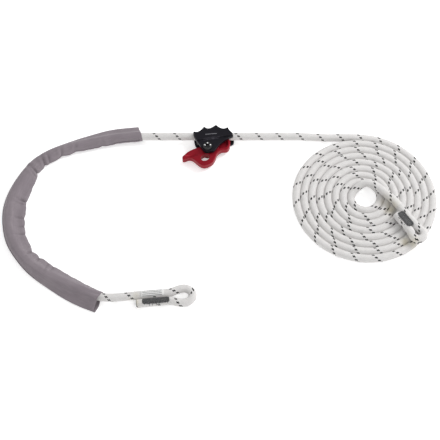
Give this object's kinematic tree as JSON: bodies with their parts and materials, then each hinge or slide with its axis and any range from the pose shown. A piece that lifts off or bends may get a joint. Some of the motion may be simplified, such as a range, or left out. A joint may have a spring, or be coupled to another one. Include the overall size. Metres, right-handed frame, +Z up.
{
  "type": "rope grab",
  "caption": "Rope grab with scalloped side plates and a red toothed cam lever, on an adjustable lanyard with a fabric sleeve, sewn eyes and a round coil of spare rope.",
  "frame": {"origin": "on the floor, at the middle of the rear plate's underside, straight below the rope axis where it runs through the grab", "axes": "+X along the rope from the grab towards the coil, +Y away from the cam lever towards the spiked edge, +Z up out of the front cover"},
  "size_m": [0.5927, 0.2858, 0.0258],
  "materials": {
    "black_anodised": "black anodised, satin, with worn lighter edges",
    "red_anodised": "deep red anodised forging, satin gloss",
    "polished_steel": "polished stainless steel",
    "dark_steel": "blackened steel",
    "bronze": "sintered bronze",
    "white_rope": "braided polyamide sheath, off-white with a black tracer",
    "grey_fabric": "mauve-grey woven polyester",
    "grey_thread": "dense dark grey bar tacks",
    "clear_plastic": "clear shrink tube",
    "label_paper": null
  },
  "bodies": {
    "rope": {"rope_run": "white_rope", "rope_coil": "white_rope", "coil_tail": "white_rope", "protective_sleeve": "grey_fabric", "lower_eye": "white_rope", "lower_eye_stitching": "grey_thread", "lower_eye_tube": "clear_plastic", "lower_eye_label": "label_paper", "coil_eye": "white_rope", "coil_eye_stitching": "grey_thread", "coil_eye_tube": "clear_plastic"},
    "grab": {"front_body": "black_anodised", "rear_plate": "black_anodised", "frame_screw_1": "dark_steel", "frame_screw_2": "dark_steel", "frame_screw_3": "dark_steel", "guide_screw": "dark_steel", "guide_post": "polished_steel", "cam_axle": "polished_steel", "axle_nut": "dark_steel", "cam_washer": "bronze", "spring_spool": "bronze", "cam_spring": "polished_steel"},
    "cam": {"cam_lever": "red_anodised", "cam_bush": "bronze"}
  },
  "joints": [
    {"name": "grab_slide", "type": "slide", "parent": "rope", "child": "grab", "axis": [1, 0, 0], "range_m": [-0.07, 0.084]},
    {"name": "cam_pivot", "type": "hinge", "parent": "grab", "child": "cam", "pos_m": [-0.0174, -0.024, 0.009], "axis": [0, 0, 1], "range_deg": [-28, 0], "stiffness_Nm_per_rad": 0.15, "springref_deg": 20.05}
  ]
}
